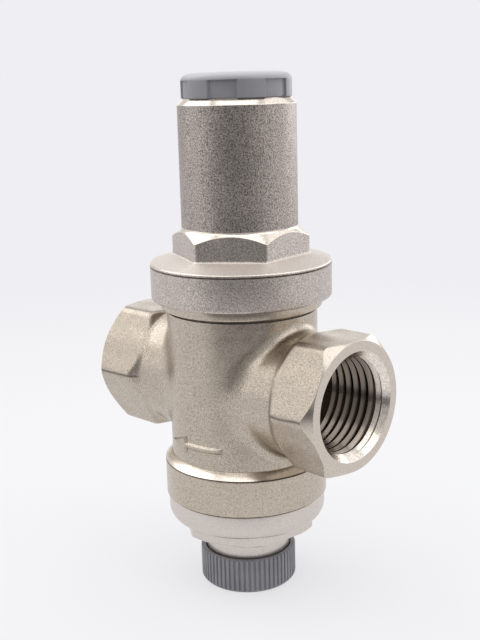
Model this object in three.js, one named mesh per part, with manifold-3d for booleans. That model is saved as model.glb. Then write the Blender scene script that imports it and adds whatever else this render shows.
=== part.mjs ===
// A pressure reducing valve for a half inch water line, in the pieces it comes apart into.
// Millimetres, +Z up. The valve stands on its gauge cap; the origin is the middle of that cap's flat end.
// The pieces are drawn around the ports' common axis (z = 0 there), and one group lifts them onto the base.
// Water comes in at +X, rises through the seat and leaves at -X. The spring pushes the piston down and
// opens the seat; pressure under the piston lifts it and closes the seat.
import * as THREE from "three";
import { mergeVertices } from "three/addons/utils/BufferGeometryUtils.js";
import Module from "manifold-3d";

const wasm = await Module();
wasm.setup();

// Clearances, and how far a cutter reaches past the face that it opens
const threadClearance = 0.2;
const fitClearance = 0.15;
const runningClearance = 0.1;
const sealClearance = 0.07;
const overrun = 1;

// Valve body: two hexagonal ends on a round column, with a half inch pipe thread in each end
const inletReach = 29;
const outletReach = 30.5;
const portAcrossFlats = 25;
const portCornerRadius = 2;
const portHexStart = 18.6;
const portChamfer = 2;
const portInnerChamfer = 1.7;
const portThreadCrest = 9.32;
const portMouthRadius = 10.6;
const portDepth = 15;
const portNeckRadius = 12.3;
const columnRadius = 15.1;
const shoulderFace = 17.65;
const shoulderHeight = 1.85;
const shoulderLedge = 1;
const lowerFace = 23.2;
const collarHeight = 7.5;
const collarLedge = 1.5;
const collarChamfer = 1.4;
const spigotRadius = 14.2;
const spigotHeight = 5.25;
const spigotWall = 2.6;
const pistonStop = 10;
const outletChamberRadius = 9.5;
const partitionTop = 1.6;
const partitionThickness = 4.2;
const inletChamberRadius = 10.5;
const inletChamberDepth = 11.4;
const plugBoreRadius = 13.3;
const passageRadius = 4.2;

// Flow arrow, raised on the lower front of the column
const arrowHeight = 0.35;
const arrowDrop = 10.4;
const arrowShaftWidth = 1.5;
const arrowShaftLength = 8.6;
const arrowHeadWidth = 5.2;
const arrowHeadLength = 5;
const arrowTail = 7;

// Seat ring, pressed into the partition from above
const seatBore = 4.6;
const seatBarrelRadius = 6.6;
const seatFlangeRadius = 8;
const seatFlangeHeight = 1;
const seatLipWidth = 1;
const seatLipHeight = 0.8;

// Piston, its stem and nut
const stroke = 2.5;
const closingGap = 0.05;
const pistonHeight = 6;
const grooveDepth = 2;
const grooveHeight = 2;
const grooveRise = 1.4;
const bandDepth = 0.6;
const bandHeight = 1.2;
const bandRise = 4.2;
const bandSplit = 1;
const bossRadius = 6.4;
const bossHeight = 2.6;
const pocketRadius = 4.9;
const pocketDepth = 2;
const stemRadius = 3;
const stemUpperRadius = 2.4;
const stemLowerRadius = 2;
const stemNutFlats = 7;
const nutCornerShare = 0.05;
const stemNutHeight = 3;
const stemNutStandout = 0.4;
const stemBore = 0.9;
const stemBoreHead = 4;

// Obturator, which hangs on the stem and closes the seat from below
const gasketThickness = 2.05;
const gasketRadius = 6;
const clampRadius = 3.9;
const clampThickness = 0.9;
const obturatorRim = 0.85;
const obturatorRimDrop = 0.45;
const obturatorFloor = 1.6;
const guideRadius = 4.9;
const guideLength = 7.4;
const guideGrooveDepth = 1.5;
const guideGrooveHeight = 1.8;
const guideGrooveRise = 1.4;
const stemSocketDepth = 4.3;

// Bottom plug, which screws into the body and carries the gauge neck
const plugFlangeRadius = 16.2;
const plugFlangeHeight = 5.7;
const plugFlangeRound = 2.9;
const plugAcrossFlats = 25;
const plugCornerRadius = 1.5;
const plugHexHeight = 2.3;
const plugHexChamfer = 0.8;
const plugHexTurn = -37;
const plugStep = 0.3;
const plugGrooveDepth = 1.7;
const plugGrooveHeight = 1.9;
const plugWall = 3.1;
const plugCupFloor = 2.2;
const sleeveWall = 2;
const sleeveRise = 3.1;
const sleeveDepth = 8.3;
const neckRadius = 8.77;
const neckLength = 9.7;
const neckPlainLength = 4.8;
const neckThreadRelief = 0.3;
const neckBore = 2.5;

// Gauge cap and the washer inside it
const capRimGap = 0.3;
const capWall = 0.65;
const capFloor = 1.2;
const capRib = 0.35;
const capRibs = 60;
const ribShares = [0.3, 0.7];
const capBevel = 0.6;
const capInnerClearance = 0.18;
const washerThickness = 0.8;
const washerInset = 0.3;

// Bonnet: a flange over the body's spigot, a hexagon and the spring housing
const flangeRadius = 18.07;
const flangeHeight = 7.25;
const flangeTopRound = 0.8;
const flangeFootRound = 0.5;
const flangeConeRise = 1.3;
const bonnetAcrossFlats = 24;
const bonnetCornerRadius = 0.8;
const bonnetHexTurn = 35.3;
const bonnetHexHeight = 6.6;
const bonnetHexCone = 1.9;
const housingRadius = 11.53;
const housingChamferWidth = 1.23;
const housingChamferHeight = 1.2;
const housingWall = 1.83;
const bonnetRoofGap = 0.3;

// Spring, the washer over it and the adjusting nut
const wireRadius = 1.2;
const coilRadius = 8;
const coilTurns = 8;
const coilEndShare = 0.03;
const springSeatGap = 0.3;
const springLength = 29.7;
const springWasherRadius = 9.3;
const springWasherHole = 4;
const springWasherThickness = 1.5;
const nutHeight = 4;
const nutSocketFlats = 10;
const nutRoom = 1.6;

// Top cap, screwed into the housing, with lobes to grip
const lobeRadius = 10.7;
const lobeDepth = 0.5;
const lobes = 6;
const topCapHeight = 4.8;
const topCapRound = 1.6;
const topCapDish = 0.25;
const topCapSpigotLength = 3;
const topCapSpigotClearance = 0.3;
const topCapWall = 1.8;
const topCapGrooveDepth = 1.1;
const topCapGrooveHeight = 1.4;
const topCapGrooveRise = 0.5;

// Sizes that follow from those above
const portCorner = portAcrossFlats / Math.sqrt(3);
const partitionBottom = partitionTop - partitionThickness;
const inletChamberFloor = partitionBottom - inletChamberDepth;
const pistonBoreRadius = spigotRadius - spigotWall;
const pistonRadius = pistonBoreRadius - runningClearance;
const pistonTop = pistonStop + pistonHeight;
const grooveRadius = pistonBoreRadius - grooveDepth;
const spigotTop = shoulderFace + spigotHeight;
const seatLip = partitionBottom - seatLipHeight;
const gasketTop = seatLip - stroke - closingGap;
const gasketBottom = gasketTop - gasketThickness;
const obturatorBottom = gasketBottom - obturatorFloor;
const guideBottom = obturatorBottom - guideLength;
const clampTop = gasketTop + clampThickness;
const clampBore = stemLowerRadius + fitClearance;
const stemFoot = gasketBottom - stemSocketDepth + threadClearance;
const pocketFloor = pistonTop + bossHeight - pocketDepth;
const stemHead = pocketFloor + stemNutHeight + stemNutStandout;
const housingBore = housingRadius - housingWall;
const bodyFoot = -lowerFace;
const plugTop = inletChamberFloor - plugStep;
const plugThreadRadius = plugBoreRadius - threadClearance;
const plugFlangeFoot = bodyFoot - plugFlangeHeight;
const plugHexFoot = plugFlangeFoot - plugHexHeight;
const neckFoot = plugHexFoot - neckLength;
const sleeveTop = plugTop + sleeveRise;
const sleeveBore = guideRadius + runningClearance;
const capFloorTop = neckFoot - washerThickness;
const capFoot = capFloorTop - capFloor;
const capRim = plugHexFoot - neckPlainLength + capRimGap;
const capBore = neckRadius + capInnerClearance;
const springFoot = pistonTop + springSeatGap;
const springHead = springFoot + springLength;
const springWasherFoot = springHead + springSeatGap;
const nutFoot = springWasherFoot + springWasherThickness;
const housingTop = nutFoot + nutHeight + nutRoom + topCapSpigotLength;
const flangeRim = shoulderFace + flangeHeight;
const bonnetHexTop = flangeRim + bonnetHexHeight;

// How finely round shapes are cut
const wideSides = 48;
const narrowSides = 24;
const sealSides = 32;
const sectionSides = 6;
const cornerSteps = 3;
const roundSteps = 3;
const stepsPerTurn = 14;

const nickel = { color: 0xb5aba1, roughness: 0.38, metalness: 0.85 };
const blasted = { color: 0x978e87, roughness: 0.62, metalness: 0.75 };
const brass = { color: 0xc2a05a, roughness: 0.35, metalness: 0.9 };
const steel = { color: 0xb8bcc0, roughness: 0.3, metalness: 0.95 };
const springSteel = { color: 0x6f7276, roughness: 0.4, metalness: 0.9 };
const rubber = { color: 0x1d1e20, roughness: 0.85, metalness: 0 };
const whiteBand = { color: 0xe8e6df, roughness: 0.5, metalness: 0 };
const greyPlastic = { color: 0x8b8a90, roughness: 0.5, metalness: 0 };
const darkPlastic = { color: 0x6c6c72, roughness: 0.55, metalness: 0 };

const valve = new THREE.Group();
valve.position.z = -capFoot;

// A closed geometry as a solid that can be joined and cut.
function solid(geometry) {
  const bare = geometry.index ? geometry.toNonIndexed() : geometry.clone();
  bare.deleteAttribute("normal");
  bare.deleteAttribute("uv");
  const merged = mergeVertices(bare, 1e-4);
  const mesh = new wasm.Mesh({
    numProp: 3,
    vertProperties: merged.attributes.position.array,
    triVerts: new Uint32Array(merged.index.array),
  });
  return new wasm.Manifold(mesh);
}

function geometryOf(shape) {
  const mesh = shape.getMesh();
  const geometry = new THREE.BufferGeometry();
  geometry.setAttribute("position", new THREE.BufferAttribute(mesh.vertProperties, mesh.numProp));
  geometry.setIndex(new THREE.BufferAttribute(mesh.triVerts, 1));
  const faceted = geometry.toNonIndexed();
  faceted.computeVertexNormals();
  return faceted;
}

function place(name, shape, look) {
  const geometry = shape.isBufferGeometry ? shape : geometryOf(shape);
  const mesh = new THREE.Mesh(geometry, new THREE.MeshStandardMaterial(look));
  mesh.name = name;
  valve.add(mesh);
}

// A solid turned about Z from its outline of [radius, height] points, listed with the solid on the left.
function turned(outline, sides = wideSides) {
  const first = outline[0];
  const last = outline[outline.length - 1];
  const onAxis = first[0] === 0 && last[0] === 0;
  const points = onAxis ? outline : [...outline, first];
  const profile = points.map(([radius, height]) => new THREE.Vector2(radius, height));
  return solid(new THREE.LatheGeometry(profile, sides).rotateX(Math.PI / 2));
}

function cylinder(radius, from, to, sides = wideSides) {
  return turned([[0, from], [radius, from], [radius, to], [0, to]], sides);
}

// Points of an arc in an outline, from one angle to another in degrees.
function arc(radius, height, size, from, to, steps = roundSteps) {
  const points = [];
  for (let i = 0; i <= steps; i++) {
    const angle = THREE.MathUtils.degToRad(from + ((to - from) * i) / steps);
    points.push([radius + size * Math.cos(angle), height + size * Math.sin(angle)]);
  }
  return points;
}

// A shape that stands on the valve's axis, laid along +X or -X instead.
function alongX(shape, side) {
  return shape.rotate([0, side * 90, 0]);
}

// A six-sided prism about Z with rounded corners; one corner points at the angle turn.
function hexagon(acrossFlats, cornerRadius, from, to, turn = 0) {
  const reach = acrossFlats / Math.sqrt(3) - cornerRadius / Math.cos(Math.PI / 6);
  const outline = new THREE.Shape();
  for (let i = 0; i < 6; i++) {
    const angle = (i * Math.PI) / 3;
    const x = reach * Math.cos(angle);
    const y = reach * Math.sin(angle);
    outline.absarc(x, y, cornerRadius, angle - Math.PI / 6, angle + Math.PI / 6, false);
  }
  const depth = to - from;
  const options = { depth, bevelEnabled: false, curveSegments: cornerSteps };
  const prism = new THREE.ExtrudeGeometry(outline, options);
  return solid(prism.translate(0, 0, from)).rotate([0, 0, turn]);
}

// A round rubber seal that fills a groove up to the bore around it.
function sealRing(groove, bore, height, sides = sealSides) {
  const section = (bore - groove) / 2 - sealClearance;
  const middle = (bore + groove) / 2;
  const ring = new THREE.TorusGeometry(middle, section, sectionSides, sides);
  return ring.translate(0, 0, height);
}

// One hexagonal end: a hexagon turned off at both ends, on a round neck.
function portEnd(reach) {
  const face = portAcrossFlats / 2;
  const turning = turned([
    [0, portHexStart],
    [face, portHexStart],
    [portCorner, portHexStart + portInnerChamfer],
    [portCorner, reach - portChamfer],
    [face, reach],
    [0, reach],
  ]);
  const nut = hexagon(portAcrossFlats, portCornerRadius, portHexStart - overrun, reach + overrun, 90);
  return cylinder(portNeckRadius, 0, reach - overrun).add(nut.intersect(turning));
}

function portBore(reach) {
  const mouth = portMouthRadius - portThreadCrest;
  return turned([
    [0, reach - portDepth],
    [portThreadCrest, reach - portDepth],
    [portThreadCrest, reach - mouth],
    [portMouthRadius, reach],
    [portMouthRadius, reach + overrun],
    [0, reach + overrun],
  ]);
}

// The round way from the end of a port's bore into the chamber behind it.
function passage(reach, chamberRadius, side, height) {
  const start = Math.sqrt(chamberRadius ** 2 - passageRadius ** 2) - overrun;
  const way = cylinder(passageRadius, start, reach - portDepth + overrun, narrowSides);
  return alongX(way, side).translate([0, 0, height]);
}

// The raised arrow: a flat arrow that points to -X, kept where it stands just out of the column.
function flowArrow() {
  const tail = arrowTail;
  const neck = tail - arrowShaftLength;
  const tip = neck - arrowHeadLength;
  const outline = new THREE.Shape();
  outline.moveTo(tail, arrowShaftWidth / 2);
  outline.lineTo(neck, arrowShaftWidth / 2);
  outline.lineTo(neck, arrowHeadWidth / 2);
  outline.lineTo(tip, 0);
  outline.lineTo(neck, -arrowHeadWidth / 2);
  outline.lineTo(neck, -arrowShaftWidth / 2);
  outline.lineTo(tail, -arrowShaftWidth / 2);
  const depth = columnRadius + overrun;
  const plate = solid(new THREE.ExtrudeGeometry(outline, { depth, bevelEnabled: false }));
  const drum = cylinder(columnRadius + arrowHeight, -arrowDrop - arrowHeadWidth, 0);
  return plate.rotate([90, 0, 0]).translate([0, 0, -arrowDrop]).intersect(drum);
}

function makeBody() {
  const collarRadius = columnRadius + collarLedge;
  const collarTop = bodyFoot + collarHeight;
  const shoulderRadius = columnRadius + shoulderLedge;
  const column = turned([
    [0, bodyFoot],
    [collarRadius, bodyFoot],
    [collarRadius, collarTop],
    [columnRadius, collarTop + collarChamfer],
    [columnRadius, shoulderFace - shoulderHeight],
    [shoulderRadius, shoulderFace - shoulderHeight],
    [shoulderRadius, shoulderFace],
    [spigotRadius, shoulderFace],
    [spigotRadius, spigotTop],
    [0, spigotTop],
  ]);
  const well = turned([
    [0, partitionTop],
    [outletChamberRadius, partitionTop],
    [outletChamberRadius, pistonStop],
    [pistonBoreRadius, pistonStop],
    [pistonBoreRadius, spigotTop + overrun],
    [0, spigotTop + overrun],
  ]);
  const sump = turned([
    [0, bodyFoot - overrun],
    [plugBoreRadius, bodyFoot - overrun],
    [plugBoreRadius, inletChamberFloor],
    [inletChamberRadius, inletChamberFloor],
    [inletChamberRadius, partitionBottom],
    [0, partitionBottom],
  ]);
  const seatHoleRadius = seatBarrelRadius + fitClearance;
  const seatHole = cylinder(seatHoleRadius, partitionBottom - overrun, partitionTop + overrun, narrowSides);
  return column
    .add(alongX(portEnd(inletReach), 1))
    .add(alongX(portEnd(outletReach), -1))
    .add(flowArrow())
    .subtract(well)
    .subtract(sump)
    .subtract(seatHole)
    .subtract(alongX(portBore(inletReach), 1))
    .subtract(alongX(portBore(outletReach), -1))
    .subtract(passage(inletReach, inletChamberRadius, 1, partitionBottom - passageRadius))
    .subtract(passage(outletReach, outletChamberRadius, -1, partitionTop + passageRadius));
}

function makeSeatRing() {
  return turned([
    [seatBore, seatLip],
    [seatBore + seatLipWidth, seatLip],
    [seatBore + seatLipWidth, partitionBottom],
    [seatBarrelRadius, partitionBottom],
    [seatBarrelRadius, partitionTop],
    [seatFlangeRadius, partitionTop],
    [seatFlangeRadius, partitionTop + seatFlangeHeight],
    [seatBore, partitionTop + seatFlangeHeight],
  ], narrowSides);
}

function makePiston() {
  const bore = stemUpperRadius + fitClearance;
  const groove = pistonStop + grooveRise;
  const band = pistonStop + bandRise;
  return turned([
    [bore, pistonStop],
    [pistonRadius, pistonStop],
    [pistonRadius, groove],
    [grooveRadius, groove],
    [grooveRadius, groove + grooveHeight],
    [pistonRadius, groove + grooveHeight],
    [pistonRadius, band],
    [pistonRadius - bandDepth, band],
    [pistonRadius - bandDepth, band + bandHeight],
    [pistonRadius, band + bandHeight],
    [pistonRadius, pistonTop],
    [bossRadius, pistonTop],
    [bossRadius, pistonTop + bossHeight],
    [pocketRadius, pistonTop + bossHeight],
    [pocketRadius, pocketFloor],
    [bore, pocketFloor],
  ]);
}

// The white guide band is a split ring, so that it can be sprung into its groove.
function makeSlideRing() {
  const inner = pistonRadius - bandDepth + sealClearance;
  const outer = pistonBoreRadius - sealClearance;
  const foot = pistonStop + bandRise + sealClearance;
  const head = pistonStop + bandRise + bandHeight - sealClearance;
  const ring = turned([[inner, foot], [outer, foot], [outer, head], [inner, head]]);
  const split = new THREE.BoxGeometry(pistonBoreRadius, bandSplit, bandHeight + overrun);
  split.translate(pistonBoreRadius, 0, (foot + head) / 2);
  return ring.subtract(solid(split));
}

function makeStem() {
  const rod = turned([
    [0, stemFoot],
    [stemLowerRadius, stemFoot],
    [stemLowerRadius, clampTop],
    [stemRadius, clampTop],
    [stemRadius, pistonStop],
    [stemUpperRadius, pistonStop],
    [stemUpperRadius, stemHead],
    [0, stemHead],
  ], narrowSides);
  const boreHead = pistonStop - stemBoreHead;
  const drilling = cylinder(stemBore, stemFoot - overrun, boreHead, sectionSides);
  const cross = alongX(cylinder(stemBore, -stemRadius - overrun, stemRadius + overrun, sectionSides), 1);
  return rod.subtract(drilling).subtract(cross.translate([0, 0, boreHead]));
}

function makeStemNut() {
  const foot = pocketFloor;
  const head = pocketFloor + stemNutHeight;
  const hole = cylinder(stemUpperRadius + fitClearance, foot - overrun, head + overrun, narrowSides);
  return hexagon(stemNutFlats, nutCornerShare * stemNutFlats, foot, head).subtract(hole);
}

function makeWasher(inner, outer, foot, head, sides = narrowSides) {
  return turned([[inner, foot], [outer, foot], [outer, head], [inner, head]], sides);
}

function makeObturator() {
  const socket = stemLowerRadius + fitClearance;
  const rimInner = gasketRadius + fitClearance;
  const rimOuter = rimInner + obturatorRim;
  const groove = guideBottom + guideGrooveRise;
  const grooveFloor = guideRadius - guideGrooveDepth;
  const socketFloor = gasketBottom - stemSocketDepth;
  return turned([
    [stemBore, guideBottom],
    [guideRadius, guideBottom],
    [guideRadius, groove],
    [grooveFloor, groove],
    [grooveFloor, groove + guideGrooveHeight],
    [guideRadius, groove + guideGrooveHeight],
    [guideRadius, obturatorBottom],
    [rimOuter, obturatorBottom],
    [rimOuter, gasketTop - obturatorRimDrop],
    [rimInner, gasketTop - obturatorRimDrop],
    [rimInner, gasketBottom],
    [socket, gasketBottom],
    [socket, socketFloor],
    [stemBore, socketFloor],
  ], narrowSides);
}

function makePlug() {
  const grooveFloor = plugBoreRadius - plugGrooveDepth;
  const cupWall = plugThreadRadius - plugWall;
  const sleeveOuter = sleeveBore + sleeveWall;
  const cupFloor = bodyFoot + plugCupFloor;
  const threadRadius = neckRadius - neckThreadRelief;
  const turning = turned([
    [neckBore, neckFoot],
    [threadRadius, neckFoot],
    [threadRadius, plugHexFoot - neckPlainLength],
    [neckRadius, plugHexFoot - neckPlainLength],
    [neckRadius, plugFlangeFoot],
    ...arc(plugFlangeRadius - plugFlangeRound, plugFlangeFoot + plugFlangeRound, plugFlangeRound, -90, 0),
    [plugFlangeRadius, bodyFoot],
    [grooveFloor, bodyFoot],
    [grooveFloor, bodyFoot + plugGrooveHeight],
    [plugThreadRadius, bodyFoot + plugGrooveHeight],
    [plugThreadRadius, plugTop],
    [cupWall, plugTop],
    [cupWall, cupFloor],
    [sleeveOuter, cupFloor],
    [sleeveOuter, sleeveTop],
    [sleeveBore, sleeveTop],
    [sleeveBore, sleeveTop - sleeveDepth],
    [neckBore, sleeveTop - sleeveDepth],
  ]);
  const corner = plugAcrossFlats / Math.sqrt(3);
  const hexTurning = turned([
    [neckBore, plugHexFoot],
    [corner - plugHexChamfer * Math.sqrt(3), plugHexFoot],
    [corner, plugHexFoot + plugHexChamfer],
    [corner, plugFlangeFoot + overrun],
    [neckBore, plugFlangeFoot + overrun],
  ]);
  const gripTop = plugFlangeFoot + overrun;
  const grip = hexagon(plugAcrossFlats, plugCornerRadius, plugHexFoot, gripTop, plugHexTurn);
  return turning.add(grip.intersect(hexTurning));
}

// The ribbed cap under the valve: a star outline with a rib at every second point, bevelled at the foot.
function makeGaugeCap() {
  const valley = capBore + capWall;
  const ridge = valley + capRib;
  const outline = new THREE.Shape();
  for (let i = 0; i < capRibs; i++) {
    for (const share of [0, ...ribShares]) {
      const angle = ((i + share) * 2 * Math.PI) / capRibs;
      const radius = share === 0 ? valley : ridge;
      const go = i + share === 0 ? "moveTo" : "lineTo";
      outline[go](radius * Math.cos(angle), radius * Math.sin(angle));
    }
  }
  const depth = capRim - capFoot;
  const star = new THREE.ExtrudeGeometry(outline, { depth, bevelEnabled: false });
  const ribbed = solid(star.translate(0, 0, capFoot));
  const turning = turned([
    [0, capFoot],
    [ridge - capBevel, capFoot],
    [ridge, capFoot + capBevel],
    [ridge, capRim],
    [0, capRim],
  ]);
  return ribbed.intersect(turning).subtract(cylinder(capBore, capFloorTop, capRim + overrun));
}

function makeBonnet() {
  const socket = spigotRadius + threadClearance;
  const roof = spigotTop + bonnetRoofGap;
  const corner = bonnetAcrossFlats / Math.sqrt(3);
  const hexFoot = flangeRim + flangeConeRise;
  const rimRadius = flangeRadius - flangeTopRound;
  const turning = turned([
    [socket, shoulderFace],
    ...arc(flangeRadius - flangeFootRound, shoulderFace + flangeFootRound, flangeFootRound, -90, 0),
    ...arc(rimRadius, flangeRim - flangeTopRound, flangeTopRound, 0, 80),
    [corner, hexFoot],
    [housingRadius, hexFoot],
    [housingRadius, housingTop - housingChamferHeight],
    [housingRadius - housingChamferWidth, housingTop],
    [housingBore, housingTop],
    [housingBore, roof],
    [socket, roof],
  ]);
  const hexTurning = turned([
    [housingBore, flangeRim],
    [corner, flangeRim],
    [corner, bonnetHexTop - bonnetHexCone],
    [housingRadius, bonnetHexTop],
    [housingBore, bonnetHexTop],
  ]);
  const grip = hexagon(bonnetAcrossFlats, bonnetCornerRadius, flangeRim, bonnetHexTop, bonnetHexTurn);
  return turning.add(grip.intersect(hexTurning));
}

// The spring's centre line: a helix whose first and last turns lie closer than the rest.
class Coil extends THREE.Curve {
  getPoint(t) {
    const turn = t * coilTurns;
    const rise = springLength - 2 * wireRadius;
    const squeeze = coilEndShare * Math.sin(2 * Math.PI * t);
    const angle = 2 * Math.PI * turn;
    const height = springFoot + wireRadius + rise * (t - squeeze);
    return new THREE.Vector3(coilRadius * Math.cos(angle), coilRadius * Math.sin(angle), height);
  }
}

function makeSpring() {
  const section = new THREE.Shape().absarc(0, 0, wireRadius, 0, 2 * Math.PI);
  const steps = coilTurns * stepsPerTurn;
  const options = { steps, extrudePath: new Coil(), curveSegments: sectionSides / 2 };
  return new THREE.ExtrudeGeometry(section, options);
}

function makeAdjustingNut() {
  const outer = housingBore - threadClearance;
  const drum = cylinder(outer, nutFoot, nutFoot + nutHeight);
  const cornerRadius = nutCornerShare * nutSocketFlats;
  const socket = hexagon(nutSocketFlats, cornerRadius, nutFoot - overrun, nutFoot + nutHeight + overrun);
  return drum.subtract(socket);
}

// The top cap: lobes and hollows of equal width round the rim, a rounded shoulder and a hollow spigot.
function makeTopCap() {
  const top = housingTop + topCapHeight;
  const foot = housingTop - topCapSpigotLength;
  const outline = new THREE.Shape();
  const half = Math.PI / lobes / 2;
  for (let i = 0; i < lobes; i++) {
    const lobe = half * (4 * i + 2);
    outline.absarc(0, 0, lobeRadius, lobe - half, lobe + half, false);
    outline.absarc(0, 0, lobeRadius - lobeDepth, lobe + half, lobe + 3 * half, false);
  }
  const options = { depth: topCapHeight, bevelEnabled: false, curveSegments: cornerSteps };
  const lobed = solid(new THREE.ExtrudeGeometry(outline, options).translate(0, 0, housingTop));
  const dome = turned([
    [0, housingTop],
    [lobeRadius, housingTop],
    ...arc(lobeRadius - topCapRound, top - topCapRound, topCapRound, 0, 90),
    [lobeRadius - 2 * topCapRound, top - topCapDish],
    [0, top - topCapDish],
  ]);
  const spigot = housingBore - topCapSpigotClearance;
  const groove = foot + topCapGrooveRise;
  const grooveFloor = spigot - topCapGrooveDepth;
  const plug = turned([
    [0, foot],
    [spigot, foot],
    [spigot, groove],
    [grooveFloor, groove],
    [grooveFloor, groove + topCapGrooveHeight],
    [spigot, groove + topCapGrooveHeight],
    [spigot, housingTop + overrun],
    [0, housingTop + overrun],
  ]);
  const hollow = cylinder(grooveFloor - topCapWall, foot - overrun, housingTop + topCapWall, narrowSides);
  return lobed.intersect(dome).add(plug).subtract(hollow);
}

place("valve_body", makeBody(), nickel);
place("seat_ring", makeSeatRing(), steel);
place("bonnet", makeBonnet(), blasted);
place("bottom_plug", makePlug(), nickel);
place(
  "bottom_plug_seal",
  sealRing(plugBoreRadius - plugGrooveDepth, plugBoreRadius, bodyFoot + plugGrooveHeight / 2),
  rubber,
);
place("gauge_cap", makeGaugeCap(), darkPlastic);
place("gauge_cap_washer", makeWasher(neckBore, neckRadius - washerInset, capFloorTop, neckFoot), rubber);

place("piston", makePiston(), brass);
place(
  "piston_seal",
  sealRing(grooveRadius, pistonBoreRadius, pistonStop + grooveRise + grooveHeight / 2),
  rubber,
);
place("piston_guide_band", makeSlideRing(), whiteBand);
place("stem", makeStem(), steel);
place("stem_nut", makeStemNut(), steel);
place("gasket_clamp", makeWasher(clampBore, clampRadius, gasketTop, clampTop), brass);
place("seat_gasket", makeWasher(clampBore, gasketRadius, gasketBottom, gasketTop), rubber);
place("obturator", makeObturator(), brass);
place(
  "obturator_seal",
  sealRing(
    guideRadius - guideGrooveDepth,
    sleeveBore,
    guideBottom + guideGrooveRise + guideGrooveHeight / 2,
    narrowSides,
  ),
  rubber,
);

place("adjusting_spring", makeSpring(), springSteel);
place("spring_washer", makeWasher(springWasherHole, springWasherRadius, springWasherFoot, nutFoot), steel);
place("adjusting_nut", makeAdjustingNut(), brass);
place("top_cap", makeTopCap(), greyPlastic);
place(
  "top_cap_seal",
  sealRing(
    housingBore - topCapSpigotClearance - topCapGrooveDepth,
    housingBore,
    housingTop - topCapSpigotLength + topCapGrooveRise + topCapGrooveHeight / 2,
  ),
  rubber,
);

export default valve;
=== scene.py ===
import math

import bmesh
import bpy
import numpy as np
from mathutils import Matrix, Vector


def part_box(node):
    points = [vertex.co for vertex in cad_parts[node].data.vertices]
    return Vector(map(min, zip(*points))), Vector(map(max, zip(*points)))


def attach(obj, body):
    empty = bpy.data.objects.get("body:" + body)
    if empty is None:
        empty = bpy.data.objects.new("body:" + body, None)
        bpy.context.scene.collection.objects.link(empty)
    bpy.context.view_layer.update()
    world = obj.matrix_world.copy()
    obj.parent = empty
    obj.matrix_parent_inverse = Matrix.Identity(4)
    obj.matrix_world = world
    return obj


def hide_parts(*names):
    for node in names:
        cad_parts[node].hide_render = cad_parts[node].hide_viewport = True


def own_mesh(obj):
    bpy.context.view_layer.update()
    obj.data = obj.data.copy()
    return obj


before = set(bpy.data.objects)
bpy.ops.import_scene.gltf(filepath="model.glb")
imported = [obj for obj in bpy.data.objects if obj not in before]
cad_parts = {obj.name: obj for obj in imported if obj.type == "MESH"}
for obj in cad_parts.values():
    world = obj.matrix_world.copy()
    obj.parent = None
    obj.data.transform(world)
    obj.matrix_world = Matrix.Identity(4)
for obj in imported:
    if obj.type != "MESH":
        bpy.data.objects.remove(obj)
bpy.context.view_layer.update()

# Valve body
# Hot forged brass, shot blasted, turned at its ends, collar and shoulder, then nickel plated.
# The forged skin keeps its soft corners and fillets; the turned faces are cut into it afterwards.
# The two pipe sockets carry a half inch parallel thread.

MM = 0.001
PORT_AXIS = 42.9
OVERRUN = 1.0
INLET_REACH = 29.0
OUTLET_REACH = 30.5
PORT_FLATS = 25.0
PORT_CORNER_RADIUS = 2.0
PORT_HEX_START = 18.6
PORT_CHAMFER = 2.0
PORT_BACK_CHAMFER = 1.7
PORT_NECK_RADIUS = 12.3
PORT_DEPTH = 15.0
THREAD_CREST = 9.32
THREAD_ROOT = 10.05
THREAD_PITCH = 1.814
THREAD_ROOT_FLAT = 0.15
THREAD_FLANK = math.radians(42)
THREAD_MOUTH = 10.6
THREAD_LEAD = 0.1
THREAD_SHADE_FULL = 24.8
THREAD_SHADE_GONE = 27.6
COLUMN_RADIUS = 15.1
COLUMN_CORE = 14.5
NECK_FILLET = 2.0
HEX_FILLET = 0.7
HEX_EDGE_ROUND = 0.5
SHOULDER_FACE = 17.65
SHOULDER_HEIGHT = 1.85
SHOULDER_RADIUS = 16.1
BODY_FOOT = -23.2
COLLAR_RADIUS = 16.6
COLLAR_TOP = -15.7
COLLAR_SLOPE_TOP = -14.3
NICK = 0.17
COLLAR_NICK = COLLAR_TOP - NICK
SPIGOT_RADIUS = 14.2
SPIGOT_TOP = 22.9
PISTON_BORE = 11.6
PISTON_STOP = 10.0
OUTLET_CHAMBER = 9.5
INLET_CHAMBER = 10.5
CHAMBER_FLOOR = -14.0
PARTITION_TOP = 1.6
PARTITION_FOOT = -2.6
SEAT_HOLE = 6.75
PLUG_BORE = 13.3
PASSAGE_RADIUS = 4.2
EDGE_ROUND = 0.18
ARROW_HEIGHT = 0.4
ARROW_DROP = 10.4
ARROW_SHAFT = 1.4
ARROW_HEAD = 3.8
ARROW_TAIL = 7.0
ARROW_NECK = -1.6
ARROW_TIP = -6.6
ARROW_BEVEL = 0.42
ARROW_BACK_BEVEL = ARROW_BEVEL * 0.8
ARROW_STEP = 0.01
ARROW_BLUNT = 0.03
ARROW_SINK = 0.05
RELIEF_DEPTH = 0.5
RELIEF_HEIGHT = 0.7
SKIN_CELL = 0.33
SKIN_TOP = 16.9
SKIN_FOOT = -15.2
DIE_WAVE_HEIGHT = 0.12
PARTING_START = 17.9
PARTING_SWAY = 0.8
PARTING_COLOUR = "#5f5750"
RING_SPACING = 0.3
SPOT_SIZE = 0.35


def linear(code):
    """An sRGB hex colour as Blender's linear RGBA."""
    parts = [int(code[i : i + 2], 16) / 255 for i in (1, 3, 5)]
    return tuple(c / 12.92 if c <= 0.04045 else ((c + 0.055) / 1.055) ** 2.4 for c in parts) + (1.0,)


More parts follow.
